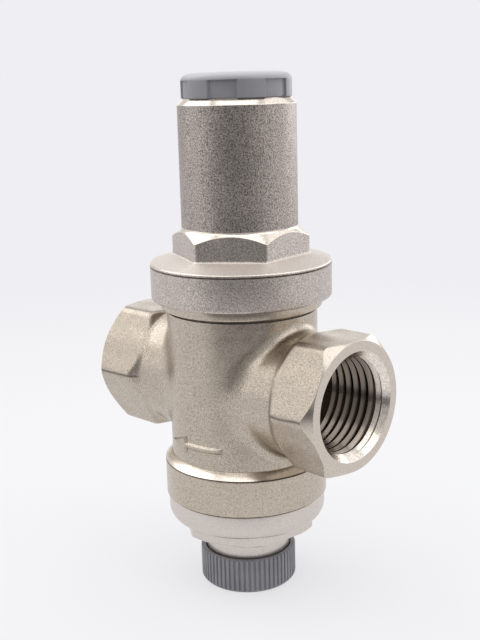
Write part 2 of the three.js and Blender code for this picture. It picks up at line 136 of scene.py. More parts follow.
def add(tree, kind, inputs=None, **settings):
    """A node with its settings, and its inputs given as values or as the sockets that feed them."""
    node = tree.nodes.new(kind)
    for key, value in settings.items():
        setattr(node, key, value)
    for key, value in (inputs or {}).items():
        if isinstance(value, bpy.types.NodeSocket):
            tree.links.new(value, node.inputs[key])
        else:
            node.inputs[key].default_value = value
    return node


def new_material(name):
    """An empty material with its output node, and Object coordinates in millimetres."""
    material = bpy.data.materials.new(name)
    material.use_nodes = True
    tree = material.node_tree
    tree.nodes.clear()
    place = add(tree, "ShaderNodeTexCoord").outputs["Object"]
    place = add(tree, "ShaderNodeVectorMath", {0: place, "Scale": 1 / MM}, operation="SCALE")
    return material, tree, place.outputs[0]


def finish_surface(tree, colour, roughness, normal, metallic=1.0):
    """The shader and the output of a metal, or of a plastic where metallic is 0."""
    shader = add(tree, "ShaderNodeBsdfPrincipled", {
        "Base Color": colour, "Metallic": metallic, "Roughness": roughness, "Normal": normal,
    })
    add(tree, "ShaderNodeOutputMaterial", {"Surface": shader.outputs[0]})


def blasted_nickel(name, pale, dark, grain, depth, rough, wave, parting=0.0):
    """Nickel plate over a shot-blasted forging: a fine pitted grain that breaks up the reflections,
    and slow waves from the forging die under it. grain, depth, wave and the half width of the rough
    line where the dies part, at the ports' corners, are millimetres."""
    material, tree, place = new_material(name)
    pits = add(tree, "ShaderNodeTexNoise", {
        "Vector": place, "Scale": 1 / grain, "Detail": 3.0, "Roughness": 0.6,
    }).outputs["Fac"]
    waves = add(tree, "ShaderNodeTexNoise", {
        "Vector": place, "Scale": 1 / wave, "Detail": 2.0, "Roughness": 0.5,
    }).outputs["Fac"]
    share = add(tree, "ShaderNodeMapRange", {"Value": pits, "From Min": 0.36, "From Max": 0.62}).outputs[0]
    tone = add(tree, "ShaderNodeMix", {0: share, 6: linear(dark), 7: linear(pale)}, data_type="RGBA")
    dull = add(tree, "ShaderNodeMapRange", {
        "Value": waves, "From Min": 0.3, "From Max": 0.7, "To Min": rough - 0.05, "To Max": rough + 0.07,
    }).outputs[0]
    if parting:
        part = add(tree, "ShaderNodeSeparateXYZ", {0: place}).outputs
        rise = add(tree, "ShaderNodeMath", {
            0: waves, 1: PARTING_SWAY, 2: -PORT_AXIS - PARTING_SWAY / 2,
        }, operation="MULTIPLY_ADD").outputs[0]
        rise = add(tree, "ShaderNodeMath", {0: part["Z"], 1: rise}, operation="ADD").outputs[0]
        rise = add(tree, "ShaderNodeMath", {0: rise}, operation="ABSOLUTE").outputs[0]
        line = add(tree, "ShaderNodeMapRange", {
            "Value": rise, "From Min": 0.0, "From Max": parting, "To Min": 1.0, "To Max": 0.0,
        }).outputs[0]
        aside = add(tree, "ShaderNodeMath", {0: part["X"]}, operation="ABSOLUTE").outputs[0]
        corner = add(tree, "ShaderNodeMapRange", {
            "Value": aside, "From Min": PARTING_START, "From Max": PARTING_START + 1, "To Max": 0.9,
        }).outputs[0]
        line = add(tree, "ShaderNodeMath", {0: line, 1: corner}, operation="MULTIPLY").outputs[0]
        burr = linear(PARTING_COLOUR)
        tone = add(tree, "ShaderNodeMix", {0: line, 6: tone.outputs[2], 7: burr}, data_type="RGBA")
    low = add(tree, "ShaderNodeBump", {
        "Height": waves, "Distance": DIE_WAVE_HEIGHT * MM, "Strength": 0.6,
    }).outputs[0]
    high = add(tree, "ShaderNodeBump", {"Height": pits, "Distance": depth * MM, "Normal": low}).outputs[0]
    finish_surface(tree, tone.outputs[2], dull, high)
    return material


def turned_metal(name, pale, dark, rough, axis, depth=0.006, deep_shade=None):
    """Turned metal, bare or plated, with the tool's fine rings round one axis.
    Real rings are a tenth of a millimetre apart; they are drawn three times as coarse so that they show.
    deep_shade is painted shade inside a bore: its darker colour, and how far out along the axis it is full
    and gone."""
    material, tree, place = new_material(name)
    middle = (0, 0, PORT_AXIS) if axis == "X" else (0, 0, 0)
    place = add(tree, "ShaderNodeVectorMath", {0: place, 1: middle}, operation="SUBTRACT").outputs[0]
    ring = (0, 1, 1) if axis == "X" else (1, 1, 0)
    across = add(tree, "ShaderNodeVectorMath", {0: place, 1: ring}, operation="MULTIPLY").outputs[0]
    radius = add(tree, "ShaderNodeVectorMath", {0: across}, operation="LENGTH").outputs["Value"]
    along = add(tree, "ShaderNodeSeparateXYZ", {0: place}).outputs[axis]
    path = add(tree, "ShaderNodeMath", {0: radius, 1: along}, operation="ADD").outputs[0]
    rings = add(tree, "ShaderNodeTexNoise", {
        "W": path, "Scale": 1 / RING_SPACING, "Detail": 3.0, "Roughness": 0.7,
    }, noise_dimensions="1D").outputs["Fac"]
    spots = add(tree, "ShaderNodeTexNoise", {
        "Vector": place, "Scale": 1 / SPOT_SIZE, "Detail": 3.0, "Roughness": 0.6,
    }).outputs["Fac"]
    share = add(tree, "ShaderNodeMapRange", {"Value": spots, "From Min": 0.35, "From Max": 0.6}).outputs[0]
    tone = add(tree, "ShaderNodeMix", {0: share, 6: linear(dark), 7: linear(pale)}, data_type="RGBA")
    # painted shade deep inside a bore, fading out towards its mouth
    if deep_shade:
        colour, inner, outer = deep_shade
        shadowed = linear(colour)
        aside = add(tree, "ShaderNodeMath", {0: along}, operation="ABSOLUTE").outputs[0]
        shade_share = add(tree, "ShaderNodeMapRange", {
            "Value": aside, "From Min": inner, "From Max": outer, "To Min": 1.0, "To Max": 0.0,
        }).outputs[0]
        tone = add(tree, "ShaderNodeMix", {0: shade_share, 6: tone.outputs[2], 7: shadowed}, data_type="RGBA")
    dull = add(tree, "ShaderNodeMapRange", {
        "Value": rings, "From Min": 0.3, "From Max": 0.7, "To Min": rough - 0.06, "To Max": rough + 0.08,
    }).outputs[0]
    normal = add(tree, "ShaderNodeBump", {"Height": rings, "Distance": depth * MM}).outputs[0]
    finish_surface(tree, tone.outputs[2], dull, normal)
    return material


def solid(name, points, faces, material, side=0):
    """A mesh object from points in millimetres. side 1 or -1 lays a shape drawn along Z onto +X or -X."""
    places = np.array(points, float)
    if side:
        places = np.column_stack((side * places[:, 2], places[:, 1], -side * places[:, 0]))
    mesh = bpy.data.meshes.new(name)
    mesh.from_pydata(((places + (0, 0, PORT_AXIS)) * MM).tolist(), [], faces)
    mesh.materials.append(material)
    piece = bpy.data.objects.new(name, mesh)
    bpy.context.scene.collection.objects.link(piece)
    return piece


def spun(name, outline, material, side=0, sides=192, angles=None):
    """A closed solid whose outline of (radius, height) goes round Z, with the solid on its left.
    A radius or height is one number, or an array with a value for each angle."""
    if angles is None:
        angles = np.arange(sides) * 2 * math.pi / sides
    count = len(angles)
    points, rings = [], []
    for radius, height in outline:
        radii = np.broadcast_to(radius, count)
        heights = np.broadcast_to(height, count)
        if radii.any():
            rings.append(list(range(len(points), len(points) + count)))
            points.extend(zip(radii * np.cos(angles), radii * np.sin(angles), heights))
        else:
            rings.append([len(points)] * count)
            points.append((0.0, 0.0, heights[0]))
    if rings[0][0] != rings[0][-1]:
        rings.append(rings[0])
    faces = []
    for low, high in zip(rings, rings[1:]):
        for i in range(count):
            j = (i + 1) % count
            face = tuple(dict.fromkeys((low[i], low[j], high[j], high[i])))
            if len(face) > 2:
                faces.append(face)
    return solid(name, points, faces, material, side)


def rod(radius, foot, top):
    """The outline of a plain bar."""
    return [(0, foot), (radius, foot), (radius, top), (0, top)]


def nick(rim, level):
    """The outline of a narrow V groove turned into a rim at one level."""
    return [(rim, level - NICK), (rim - NICK, level), (rim, level + NICK)]


def in_nick(radius, height, rim, level):
    """Whether a face lies in that groove."""
    return (np.abs(radius - rim + NICK / 2) < NICK * 0.4) & (np.abs(height - level) < NICK)


def eased(outline, radii, steps=4):
    """The outline with an arc at each corner whose index is in radii."""
    points = [(np.asarray(r, float), np.asarray(h, float)) for r, h in outline]
    result = []
    for i, (r, h) in enumerate(points):
        if i not in radii:
            result.append((r, h))
            continue
        (r0, h0), (r1, h1) = points[i - 1], points[(i + 1) % len(points)]
        before = np.hypot(r0 - r, h0 - h)
        after = np.hypot(r1 - r, h1 - h)
        ur, uh = (r0 - r) / before, (h0 - h) / before
        vr, vh = (r1 - r) / after, (h1 - h) / after
        half = np.arccos(np.clip(ur * vr + uh * vh, -1, 1)) / 2
        reach = np.minimum(radii[i] / np.tan(half), 0.48 * np.minimum(before, after))
        ar, ah = r + ur * reach, h + uh * reach
        br, bh = r + vr * reach, h + vh * reach
        for step in range(steps + 1):
            t = step / steps
            weight = 2 * t * (1 - t) * np.sin(half)
            total = (1 - t) ** 2 + t**2 + weight
            result.append((
                ((1 - t) ** 2 * ar + weight * r + t**2 * br) / total,
                ((1 - t) ** 2 * ah + weight * h + t**2 * bh) / total,
            ))
    return result


def carved(piece, *cuts):
    """Joins or cuts other solids, each given as (operation, solid), and leaves one plain mesh."""
    for operation, tool in cuts:
        cut = piece.modifiers.new("cut", "BOOLEAN")
        cut.operation = operation
        cut.solver = "MANIFOLD"
        cut.material_mode = "TRANSFER"
        cut.object = tool
    plain(piece)
    for _, tool in cuts:
        bpy.data.objects.remove(tool)
    return piece


def plain(piece):
    """Replaces a piece's mesh by what its modifiers make of it, and takes the modifiers off."""
    shown = piece.evaluated_get(bpy.context.evaluated_depsgraph_get())
    mesh = bpy.data.meshes.new_from_object(shown)
    piece.modifiers.clear()
    piece.data = mesh
    return piece


def smooth(piece, degrees=32):
    """Shades a piece smooth, but for edges sharper than degrees."""
    piece.data.shade_smooth()
    piece.data.set_sharp_from_angle(angle=math.radians(degrees))
    return piece


def dress(piece, material, chosen):
    """Gives another material to the faces that chosen(radius, height, upward slope) picks."""
    mesh = piece.data
    count = len(mesh.polygons)
    middles, normals, index = np.zeros(count * 3), np.zeros(count * 3), np.zeros(count, int)
    mesh.polygons.foreach_get("center", middles)
    mesh.polygons.foreach_get("normal", normals)
    mesh.polygons.foreach_get("material_index", index)
    x, y, z = (middles.reshape(-1, 3) / MM - (0, 0, PORT_AXIS)).T
    mesh.materials.append(material)
    index[chosen(np.hypot(x, y), z, normals.reshape(-1, 3)[:, 2])] = len(mesh.materials) - 1
    mesh.polygons.foreach_set("material_index", index)


def hexagon_radius(angles, flats, corner_radius, turn=0.0):
    """Distance from the middle of a round-cornered hexagon to its edge; one corner is at angle turn."""
    away = np.abs((angles - turn + math.pi / 6) % (math.pi / 3) - math.pi / 6)
    centre = (flats / 2 - corner_radius) / math.cos(math.pi / 6)
    limit = math.atan2(corner_radius / 2, centre + corner_radius * math.cos(math.pi / 6))
    on_flat = flats / 2 / np.cos(math.pi / 6 - away)
    inside = np.maximum(corner_radius**2 - (centre * np.sin(away)) ** 2, 0)
    on_corner = centre * np.cos(away) + np.sqrt(inside)
    return np.where(away < limit, on_corner, on_flat)


def soft_min(a, b, size):
    """The smaller of two distances, with a fillet of about that size where they meet."""
    overlap = np.maximum(size - np.abs(a - b), 0) / size
    return np.minimum(a, b) - overlap**2 * size / 4


def soft_max(a, b, size):
    """The larger of two distances, with a rounded edge of about that size where they meet."""
    return -soft_min(-a, -b, size)


def forged_skin(p):
    """Signed distance from the forged skin, near enough to walk a point onto it."""
    x, y, z = p.T
    column = np.hypot(x, y) - COLUMN_RADIUS
    around = np.hypot(y, z)
    neck = around - PORT_NECK_RADIUS
    nut = around - hexagon_radius(np.arctan2(z, y), PORT_FLATS, PORT_CORNER_RADIUS)
    slope = (PORT_FLATS / math.sqrt(3) - PORT_FLATS / 2) / PORT_BACK_CHAMFER
    back = around - PORT_FLATS / 2 - slope * (np.abs(x) - PORT_HEX_START)
    back = back / math.hypot(1, slope)
    ends = soft_max(nut, back, HEX_EDGE_ROUND)
    skin = soft_min(soft_min(column, neck, NECK_FILLET), ends, HEX_FILLET)
    caps = np.maximum(z - SKIN_TOP, SKIN_FOOT - z)
    caps = np.maximum(caps, np.maximum(x - INLET_REACH - OVERRUN, -x - OUTLET_REACH - OVERRUN))
    return np.maximum(skin, caps)


def settle(points, field):
    """Walks each point along the field's slope onto its zero surface."""
    step = 0.02
    for _ in range(5):
        slopes = []
        for axis in np.eye(3) * step:
            slopes.append((field(points + axis) - field(points - axis)) / (2 * step))
        slopes = np.array(slopes).T
        steep = np.maximum((slopes**2).sum(1), 0.2)
        points = points - slopes * np.clip(field(points) / steep, -0.5, 0.5)[:, None]
    return points


def forge(name, blanks, field, material):
    """Joins rough blanks, lays an even net of small cells over them and settles it on the field."""
    piece = carved(blanks[0], *[("UNION", other) for other in blanks[1:]])
    net = piece.modifiers.new("net", "REMESH")
    net.mode = "VOXEL"
    net.voxel_size = SKIN_CELL * MM
    plain(piece)
    mesh = piece.data
    count = len(mesh.vertices)
    flat = np.zeros(count * 3)
    mesh.vertices.foreach_get("co", flat)
    points = flat.reshape(-1, 3) / MM - (0, 0, PORT_AXIS)
    ends = np.zeros(len(mesh.edges) * 2, int)
    mesh.edges.foreach_get("vertices", ends)
    ends = ends.reshape(-1, 2)
    links = np.bincount(ends.ravel(), minlength=count)[:, None]
    points = settle(points, field)
    for _ in range(4):
        total = np.zeros_like(points)
        np.add.at(total, ends[:, 0], points[ends[:, 1]])
        np.add.at(total, ends[:, 1], points[ends[:, 0]])
        points = settle(points * 0.5 + total / links * 0.5, field)
    mesh.vertices.foreach_set("co", ((points + (0, 0, PORT_AXIS)) * MM).ravel())
    mesh.materials.clear()
    mesh.materials.append(material)
    mesh.update()
    piece.name = name
    return piece


def start_tree(name, inputs):
    """A geometry node tree and its inputs, each given as (name, kind, value), with the values by socket."""
    tree = bpy.data.node_groups.new(name, "GeometryNodeTree")
    values = {}
    for label, kind, value in inputs:
        socket = tree.interface.new_socket(label, in_out="INPUT", socket_type="NodeSocket" + kind)
        values[socket.identifier] = value
    tree.interface.new_socket("Geometry", in_out="OUTPUT", socket_type="NodeSocketGeometry")
    return tree, add(tree, "NodeGroupInput").outputs, values


def grow(name, tree, values, shape, material):
    """Ends a node tree in real geometry of one material, and makes a plain mesh object with it."""
    real = add(tree, "GeometryNodeRealizeInstances", {0: shape})
    dressed = add(tree, "GeometryNodeSetMaterial", {0: real.outputs[0], "Material": material})
    add(tree, "NodeGroupOutput", {0: dressed.outputs[0]})
    piece = bpy.data.objects.new(name, bpy.data.meshes.new(name))
    bpy.context.scene.collection.objects.link(piece)
    maker = piece.modifiers.new(name, "NODES")
    maker.node_group = tree
    for identifier, value in values.items():
        maker[identifier] = value
    return plain(piece)


def thread_bar(name, pitch, turns, radius, points, material):
    """The helical bar that a thread cutter sweeps out, as a node tree: one closed four-sided section
    carried along a spiral about Z. points are the section's corners, outwards and along the axis,
    and all lengths are millimetres."""
    tree, given, values = start_tree(name, (
        ("Pitch", "Float", pitch * MM), ("Turns", "Float", turns), ("Radius", "Float", radius * MM),
    ))
    height = add(tree, "ShaderNodeMath", {0: given["Pitch"], 1: given["Turns"]}, operation="MULTIPLY")
    spiral = add(tree, "GeometryNodeCurveSpiral", {
        "Resolution": 96, "Rotations": given["Turns"], "Start Radius": given["Radius"],
        "End Radius": given["Radius"], "Height": height.outputs[0],
    })
    upright = add(tree, "GeometryNodeSetCurveNormal", {"Curve": spiral.outputs[0]}, mode="Z_UP")
    section = add(tree, "GeometryNodeCurvePrimitiveQuadrilateral", {
        f"Point {i + 1}": (-outwards * MM, along * MM, 0)
        for i, (outwards, along) in enumerate(reversed(points))
    }, mode="POINTS")
    swept = add(tree, "GeometryNodeCurveToMesh", {
        "Curve": upright.outputs[0], "Profile Curve": section.outputs[0], "Fill Caps": True,
    })
    return grow(name, tree, values, swept.outputs[0], material)


forged = blasted_nickel("shot_blasted_nickel_plate", "#d0c5b7", "#9f9487", 0.22, 0.018, 0.27, 4.0, 0.4)
turned_x = turned_metal("turned_nickel_plate_ports", "#d6ccc1", "#c6bcb1", 0.24, "X")
turned_z = turned_metal("turned_nickel_plate_column", "#ccc1b3", "#b0a495", 0.26, "Z")
# the thread is darkened deep inside the bore as painted shade
threaded = turned_metal(
    "thread_cut_nickel_plate", "#f3ebe2", "#d0c7bc", 0.17, "X", deep_shade=("#7d736a", THREAD_SHADE_FULL, THREAD_SHADE_GONE),
)
# turned plate whose rings are real, paler as a painted highlight on upward faces
highlight_turned_plate = turned_metal("turned_nickel_plate_painted_highlight", "#f0e6da", "#ded4c8", 0.2, "Z")
# bored nickel plate, darkened as painted shade in the hollows, bores and narrow grooves
painted_shade_plate = turned_metal("bored_nickel_plate_painted_shade", "#8d8279", "#5e554e", 0.4, "Z")

# the turned collar, column core, shoulder and spigot; rounded at the collar's foot and the shoulder's rim
collar = [
    (0, BODY_FOOT), (COLLAR_RADIUS, BODY_FOOT), *nick(COLLAR_RADIUS, COLLAR_NICK),
    (COLUMN_RADIUS + EDGE_ROUND, COLLAR_SLOPE_TOP - EDGE_ROUND), (COLUMN_CORE, COLLAR_SLOPE_TOP),
    (COLUMN_CORE, SHOULDER_FACE - SHOULDER_HEIGHT), (SHOULDER_RADIUS, SHOULDER_FACE - SHOULDER_HEIGHT),
    (SHOULDER_RADIUS, SHOULDER_FACE), (SPIGOT_RADIUS, SHOULDER_FACE), (SPIGOT_RADIUS, SPIGOT_TOP),
    (0, SPIGOT_TOP),
]
collar = eased(collar, {1: EDGE_ROUND, 8: EDGE_ROUND, 9: EDGE_ROUND})


def flow_arrow():
    """The raised arrow, bevelled all round and bent to the column: six-sided sections from tail to tip.
    The head steps out over a hair's breadth, and its tip is left a hair blunt."""
    half, wide = ARROW_SHAFT / 2, ARROW_HEAD / 2
    stations = [(ARROW_TAIL, ARROW_BEVEL, half)]
    stations += [(x, 0, half) for x in np.linspace(ARROW_TAIL, ARROW_NECK, 9)[1:-1]]
    stations += [(ARROW_NECK, ARROW_BACK_BEVEL, half), (ARROW_NECK - ARROW_STEP, ARROW_BACK_BEVEL, wide)]
    for x in np.linspace(ARROW_NECK, ARROW_TIP, 6)[1:]:
        stations.append((x, 0, wide * (x - ARROW_TIP) / (ARROW_NECK - ARROW_TIP) + ARROW_BLUNT))
    points, faces = [], []
    for x, back, half in stations:
        raised = min(half - 2 * ARROW_STEP, ARROW_BEVEL)
        section = []
        for radius, spare, set_back in (
            (COLUMN_CORE, 0, 0), (COLUMN_RADIUS - ARROW_SINK, 0, 0),
            (COLUMN_RADIUS + ARROW_HEIGHT, -raised, back),
        ):
            section.append((x - set_back, -math.sqrt(radius**2 - x**2), half + spare))
        section += [(a, b, -c) for a, b, c in reversed(section)]
        points.extend((a, b, c - ARROW_DROP) for a, b, c in section)
    for low in range(0, len(points) - 6, 6):
        for i in range(6):
            j = (i + 1) % 6
            faces.append((low + i, low + j, low + 6 + j, low + 6 + i))
    faces += [tuple(range(5, -1, -1)), tuple(range(len(points) - 6, len(points)))]
    return solid("flow_arrow", points, faces, forged)


def port_blank(reach, side):
    """The rough hexagonal end that the forged skin is settled from."""
    angles = np.arange(96) * 2 * math.pi / 96
    edge = hexagon_radius(angles, PORT_FLATS, PORT_CORNER_RADIUS, math.pi / 2)
    outline = rod(edge, PORT_HEX_START + PORT_BACK_CHAMFER / 2, reach + OVERRUN)
    return spun("port_blank", outline, forged, side, angles=angles)


def port_facing(reach, side):
    """What the lathe takes off outside a port's end face and its chamfer."""
    face = PORT_FLATS / 2
    slope = PORT_CHAMFER / (PORT_FLATS / math.sqrt(3) - face)
    far = 2 * face
    outline = [
        (0, reach), (face, reach), (far, reach - slope * (far - face)),
        (far, reach + 2 * OVERRUN), (0, reach + 2 * OVERRUN),
    ]
    return spun("port_facing", eased(outline, {1: EDGE_ROUND}), turned_x, side)


def port_bore(reach, side):
    """The plain bore at the thread's crest, with the countersunk mouth."""
    mouth = THREAD_MOUTH - THREAD_CREST
    outline = [
        (0, reach - PORT_DEPTH), (THREAD_CREST, reach - PORT_DEPTH), (THREAD_CREST, reach - mouth),
        (THREAD_MOUTH, reach), (THREAD_MOUTH + OVERRUN, reach + OVERRUN), (0, reach + OVERRUN),
    ]
    return spun("port_bore", outline, threaded, side)


def port_thread(reach, side):
    """The groove between the thread's crests, swept as one helical bar that starts just inside them.
    It is drawn shallower and more open than a real half inch pipe thread, so that its flanks catch the
    light as wide bands; the real form would show as dark lines."""
    inner = THREAD_CREST - THREAD_LEAD
    widest = THREAD_ROOT_FLAT + 2 * (THREAD_ROOT - inner) * math.tan(THREAD_FLANK)
    points = [
        (0, -widest / 2), (THREAD_ROOT - inner, -THREAD_ROOT_FLAT / 2),
        (THREAD_ROOT - inner, THREAD_ROOT_FLAT / 2), (0, widest / 2),
    ]
    turns = (PORT_DEPTH + OVERRUN) / THREAD_PITCH
    bar = thread_bar("port_thread", THREAD_PITCH, turns, inner, points, threaded)
    bar.data.transform(Matrix.Translation((0, 0, (reach - PORT_DEPTH + OVERRUN) * MM)))
    bar.data.transform(Matrix.Rotation(side * math.pi / 2, 4, "Y"))
    bar.data.transform(Matrix.Translation((0, 0, PORT_AXIS * MM)))
    return bar


def relief_groove():
    """The narrow groove that the lathe leaves under the shoulder, darkened as painted shade."""
    foot = SHOULDER_FACE - SHOULDER_HEIGHT
    outline = [
        (COLUMN_RADIUS - RELIEF_DEPTH, foot - RELIEF_HEIGHT),
        (COLUMN_RADIUS + OVERRUN, foot - RELIEF_HEIGHT),
        (COLUMN_RADIUS + OVERRUN, foot), (COLUMN_RADIUS - RELIEF_DEPTH, foot),
    ]
    return spun("relief_groove", outline, painted_shade_plate)


def waterway(reach, chamber, side, height):
    """The round way between a port and its chamber."""
    start = math.sqrt(chamber**2 - PASSAGE_RADIUS**2) - OVERRUN
    outline = rod(PASSAGE_RADIUS, start, reach - PORT_DEPTH + OVERRUN)
    way = spun("waterway", outline, painted_shade_plate, side, 48)
    way.data.transform(Matrix.Translation((0, 0, height * MM)))
    return way


neck_half = PORT_HEX_START + OVERRUN
body = forge(
    "forged_body",
    [
        spun("column_blank", rod(COLUMN_RADIUS, SKIN_FOOT, SKIN_TOP), forged, sides=96),
        spun("neck_blank", rod(PORT_NECK_RADIUS, -neck_half, neck_half), forged, 1, 96),
        port_blank(INLET_REACH, 1),
        port_blank(OUTLET_REACH, -1),
    ],
    forged_skin,
    forged,
)

well = [
    (0, PARTITION_TOP), (OUTLET_CHAMBER, PARTITION_TOP), (OUTLET_CHAMBER, PISTON_STOP),
    (PISTON_BORE, PISTON_STOP), (PISTON_BORE, SPIGOT_TOP + OVERRUN), (0, SPIGOT_TOP + OVERRUN),
]
sump = [
    (0, BODY_FOOT - OVERRUN), (PLUG_BORE, BODY_FOOT - OVERRUN), (PLUG_BORE, CHAMBER_FLOOR),
    (INLET_CHAMBER, CHAMBER_FLOOR), (INLET_CHAMBER, PARTITION_FOOT), (0, PARTITION_FOOT),
]
seat_well = rod(SEAT_HOLE, PARTITION_FOOT - OVERRUN, PARTITION_TOP + OVERRUN)
carved(
    body,
    ("UNION", spun("collar_blank", collar, turned_z)),
    ("UNION", flow_arrow()),
    ("DIFFERENCE", relief_groove()),
    ("DIFFERENCE", port_facing(INLET_REACH, 1)),
    ("DIFFERENCE", port_facing(OUTLET_REACH, -1)),
    ("DIFFERENCE", spun("well", well, painted_shade_plate, sides=96)),
    ("DIFFERENCE", spun("sump", sump, painted_shade_plate, sides=96)),
    ("DIFFERENCE", spun("seat_well", seat_well, painted_shade_plate, sides=96)),
    ("DIFFERENCE", waterway(INLET_REACH, INLET_CHAMBER, 1, PARTITION_FOOT - PASSAGE_RADIUS)),
    ("DIFFERENCE", waterway(OUTLET_REACH, OUTLET_CHAMBER, -1, PARTITION_TOP + PASSAGE_RADIUS)),
    ("DIFFERENCE", port_bore(INLET_REACH, 1)),
    ("DIFFERENCE", port_bore(OUTLET_REACH, -1)),
    ("DIFFERENCE", port_thread(INLET_REACH, 1)),
    ("DIFFERENCE", port_thread(OUTLET_REACH, -1)),
)
# painted highlight on the collar's upward slope
dress(body, highlight_turned_plate, lambda r, z, up: (
    (up > 0.5) & (r > COLUMN_RADIUS) & (r < COLLAR_RADIUS) & (z > COLLAR_TOP) & (z < COLLAR_SLOPE_TOP)
))
# painted shade in the collar's groove
dress(body, painted_shade_plate, lambda r, z, up: in_nick(r, z, COLLAR_RADIUS, COLLAR_NICK))
smooth(body)
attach(body, "valve")
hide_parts("valve_body")

# Bonnet
# Spring housing, one brass forging: shot blasted all over, then turned on the flange's top and the rims.
# It screws over the body's spigot, and its hexagon takes the spanner.

FLANGE_RADIUS = 18.07
FLANGE_RIM = 24.9
FLANGE_NICK = 24.3
FLANGE_CONE_TOP = 26.2
BONNET_FLATS = 24.0
BONNET_CORNER_RADIUS = 0.8
BONNET_TURN = math.radians(35.3)
BONNET_HEX_TOP = 31.5
BONNET_HEX_CONE = 1.9
BONNET_SOCKET = 14.4
BONNET_ROOF = 23.2
HOUSING_RADIUS = 11.53
HOUSING_BORE = 9.7
HOUSING_TOP = 56.4
HOUSING_CHAMFER = 1.2
FLANGE_FOOT_ROUND = 0.5
FLANGE_RIM_ROUND = 0.35
HEX_FOOT_ROUND = 0.5
HEX_BEVEL_ROUND = 0.2
HOUSING_FOOT_ROUND = 0.7
HOUSING_RIM_ROUND = 0.15
RIM_WIDTH = 0.4
SKIN_MARGIN = 0.1


def hexagon_angles(turn):
    """Angles round a turned hexagon, closer together at its corners."""
    spread = [np.linspace(-30, -4, 12, False), np.linspace(-4, 4, 16, False), np.linspace(4, 30, 12, False)]
    corners = np.arange(0, 360, 60)
    return np.radians((np.concatenate(spread) + corners[:, None]).ravel()) + turn


blasted = blasted_nickel("coarse_blasted_nickel_plate", "#cdc4be", "#6b625c", 0.23, 0.055, 0.36, 5.0)
fine_blasted = blasted_nickel("fine_blasted_nickel_plate", "#e1d8d1", "#968d87", 0.22, 0.034, 0.34, 5.0)
satin = turned_metal("satin_nickel_plate", "#e9e1da", "#dcd4cc", 0.5, "Z", 0.002)

angles = hexagon_angles(BONNET_TURN)
hexagon = hexagon_radius(angles, BONNET_FLATS, BONNET_CORNER_RADIUS, BONNET_TURN)
cone = BONNET_HEX_CONE / (BONNET_FLATS / math.sqrt(3) - HOUSING_RADIUS)
outline = [
    (BONNET_SOCKET, SHOULDER_FACE), (FLANGE_RADIUS, SHOULDER_FACE), *nick(FLANGE_RADIUS, FLANGE_NICK),
    (FLANGE_RADIUS, FLANGE_RIM),
    (hexagon, FLANGE_CONE_TOP), (hexagon, BONNET_HEX_TOP - cone * (hexagon - HOUSING_RADIUS)),
    (HOUSING_RADIUS, BONNET_HEX_TOP), (HOUSING_RADIUS, HOUSING_TOP - HOUSING_CHAMFER),
    (HOUSING_RADIUS - HOUSING_CHAMFER, HOUSING_TOP), (HOUSING_BORE, HOUSING_TOP),
    (HOUSING_BORE, BONNET_ROOF), (BONNET_SOCKET, BONNET_ROOF),
]
outline = eased(outline, {
    1: FLANGE_FOOT_ROUND, 5: FLANGE_RIM_ROUND, 6: HEX_FOOT_ROUND, 7: HEX_BEVEL_ROUND,
    8: HOUSING_FOOT_ROUND, 9: HOUSING_RIM_ROUND, 10: HOUSING_RIM_ROUND,
})
bonnet = spun("blasted_bonnet", outline, blasted, angles=angles)
dress(bonnet, fine_blasted, lambda r, z, up: z < BONNET_HEX_TOP - BONNET_HEX_CONE)
dress(bonnet, satin, lambda r, z, up: (up > 0.6) & (z < FLANGE_CONE_TOP + RIM_WIDTH))
# painted highlight on the upward faces of the flange's rim and the housing's top
dress(bonnet, highlight_turned_plate, lambda r, z, up: (
    (up > 0.05) & (
        (z > FLANGE_CONE_TOP + OVERRUN) | (r > FLANGE_RADIUS - RIM_WIDTH) & (z > FLANGE_NICK + NICK)
    )
))
# painted shade in the flange's groove
dress(bonnet, painted_shade_plate, lambda r, z, up: in_nick(r, z, FLANGE_RADIUS, FLANGE_NICK))
# painted shade inside the housing and the socket
dress(bonnet, painted_shade_plate, lambda r, z, up: (
    (r < HOUSING_BORE + SKIN_MARGIN) | (r < BONNET_SOCKET + SKIN_MARGIN) & (z < BONNET_ROOF + SKIN_MARGIN)
))
smooth(bonnet)
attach(bonnet, "valve")
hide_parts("bonnet")

# Bottom plug
# Turned from hexagon bar and nickel plated: a rounded flange under the body, a low hexagon and the neck
# for a gauge, with a fine thread for the cap. It screws into the body from below.

PLUG_FLANGE = 16.2
PLUG_FLANGE_FOOT = -28.9
PLUG_ROUND = 2.9
PLUG_FLATS = 25.0
PLUG_CORNER_RADIUS = 1.5
PLUG_TURN = math.radians(-37)
PLUG_HEX_FOOT = -31.2
PLUG_HEX_FACE = 13.05
PLUG_HEX_BREAK = 0.12
PLUG_ROUND_STEPS = 12
PLUG_EDGE_ROUND = 0.15
PLUG_SEAM_HEIGHT = 0.28
PLUG_SEAM_DEPTH = 0.6
PLUG_TOP = -14.3
PLUG_THREAD = 13.1
PLUG_GROOVE = 11.6
PLUG_GROOVE_TOP = -21.3
PLUG_CUP = 10.0
PLUG_CUP_FLOOR = -21.0
SLEEVE_OUTER = 7.0
SLEEVE_BORE = 5.0
SLEEVE_TOP = -11.2
SLEEVE_FOOT = -19.5
NECK_RADIUS = 8.77
NECK_CREST = 8.47
NECK_CHAMFER = 0.6
NECK_ROOT = 7.7
NECK_PITCH = 1.337
NECK_ROOT_FLAT = 0.2
NECK_THREAD_LEAD = 0.2
NECK_FLANK = math.radians(27.5)
NECK_PLAIN_FOOT = -36.0
NECK_FOOT = -40.9
NECK_BORE = 2.5

plated_plug = turned_metal("turned_nickel_plate_plug", "#dad2cc", "#cfc7c0", 0.32, "Z")

